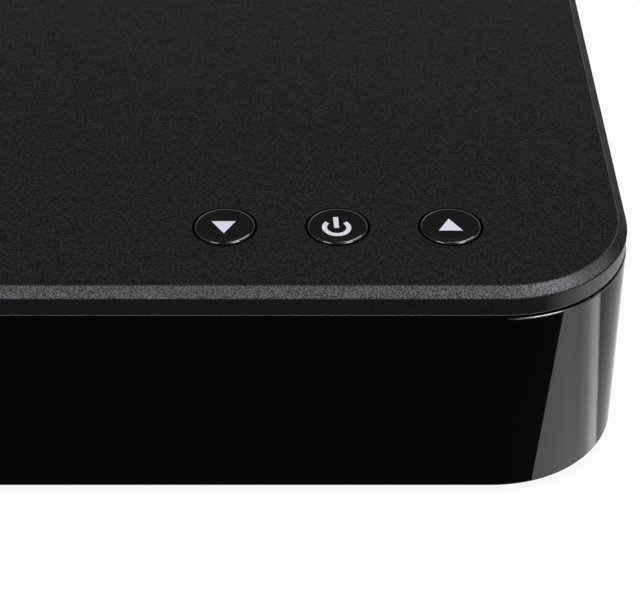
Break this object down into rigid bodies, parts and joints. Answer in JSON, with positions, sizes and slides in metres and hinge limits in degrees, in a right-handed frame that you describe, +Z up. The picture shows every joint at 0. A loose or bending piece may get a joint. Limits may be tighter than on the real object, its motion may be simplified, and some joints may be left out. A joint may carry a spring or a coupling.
{
  "type": "satellite tv receiver",
  "caption": "Low black set-top box with rounded corners, a matt lid carrying a row of round keys, gloss sides, a smoked display window, rear sockets and rubber feet.",
  "frame": {"origin": "on the table, under the middle of the whole object's box", "axes": "+X to the right seen from the front, -Y to the front with the display window, +Z up"},
  "size_m": [0.2216, 0.1704, 0.0426],
  "materials": {
    "black_lid": "fine moulded grain",
    "gloss_black": "high gloss",
    "smoked_window": "smoked, polished",
    "black_tray": "moulded",
    "black_metal": "satin black paint",
    "rubber_black": "matt",
    "key_black": "satin gloss",
    "black_zinc": "black zinc",
    "switch_plastic": "moulded",
    "plunger_white": "moulded",
    "board_green": "solder resist",
    "header_white": "moulded",
    "chip_black": "epoxy",
    "aluminium_sink": "extruded",
    "can_sleeve": "shrink sleeve",
    "ferrite": "moulded",
    "ribbon_white": "PVC",
    "lead_red": "PVC",
    "tin_plate": "tin plated",
    "nickel": "nickel plated",
    "insulator_white": "moulded",
    "socket_black": "moulded",
    "display_dark": "smooth",
    "led_lens": "clear red",
    "gold": "gold flash"
  },
  "bodies": {
    "receiver": {"top_cover": "black_lid", "gloss_frame": "gloss_black", "display_window": "smoked_window", "base_tray": "black_tray", "rear_panel": "black_metal", "foot_front_left": "rubber_black", "foot_front_right": "rubber_black", "foot_rear_left": "rubber_black", "foot_rear_right": "rubber_black", "case_screws": "black_zinc", "push_switch_down": "switch_plastic", "push_switch_power": "switch_plastic", "push_switch_up": "switch_plastic", "key_board": "board_green", "key_board_screws": "black_zinc", "key_ribbon": "ribbon_white", "display_board": "board_green", "digit_display": "display_dark", "infrared_receiver": "chip_black", "status_led": "led_lens", "display_ribbon": "ribbon_white", "main_board": "board_green", "board_screws": "black_zinc", "board_headers": "header_white", "processor": "chip_black", "heatsink": "aluminium_sink", "memory_chips": "chip_black", "electrolytic_capacitors": "can_sleeve", "power_inductors": "ferrite", "tuner_can_1": "tin_plate", "tuner_can_2": "tin_plate", "aerial_connector_1": "nickel", "aerial_connector_2": "nickel", "aerial_insulators": "insulator_white", "aerial_nuts": "nickel", "hdmi_socket": "tin_plate", "usb_socket": "tin_plate", "socket_tongues": "socket_black", "lan_socket": "socket_black", "lan_contacts": "gold", "optical_socket": "socket_black", "av_jack": "socket_black", "ir_jack": "socket_black", "dc_jack": "socket_black", "dc_jack_pin": "tin_plate", "power_switch_housing": "switch_plastic", "switch_leads": "lead_red"},
    "button_down": {"button_down": "key_black", "plunger_down": "plunger_white"},
    "button_power": {"button_power": "key_black", "plunger_power": "plunger_white"},
    "button_up": {"button_up": "key_black", "plunger_up": "plunger_white"},
    "power_rocker": {"power_switch_rocker": "key_black"},
    "optical_shutter": {"optical_shutter": "socket_black"}
  },
  "joints": [
    {"name": "button_down_press", "type": "slide", "parent": "receiver", "child": "button_down", "axis": [0, 0, -1], "range_m": [0, 0.0005], "stiffness_N_per_m": 1500},
    {"name": "button_power_press", "type": "slide", "parent": "receiver", "child": "button_power", "axis": [0, 0, -1], "range_m": [0, 0.0005], "stiffness_N_per_m": 1500},
    {"name": "button_up_press", "type": "slide", "parent": "receiver", "child": "button_up", "axis": [0, 0, -1], "range_m": [0, 0.0005], "stiffness_N_per_m": 1500},
    {"name": "power_rocker_tilt", "type": "hinge", "parent": "receiver", "child": "power_rocker", "pos_m": [-0.0796, 0.07333, 0.02], "axis": [1, 0, 0], "range_deg": [-20, 0]},
    {"name": "optical_shutter_swing", "type": "hinge", "parent": "receiver", "child": "optical_shutter", "pos_m": [-0.0404, 0.07228, 0.01972], "axis": [-1, 0, 0], "range_deg": [0, 85], "stiffness_Nm_per_rad": 0.0004}
  ]
}
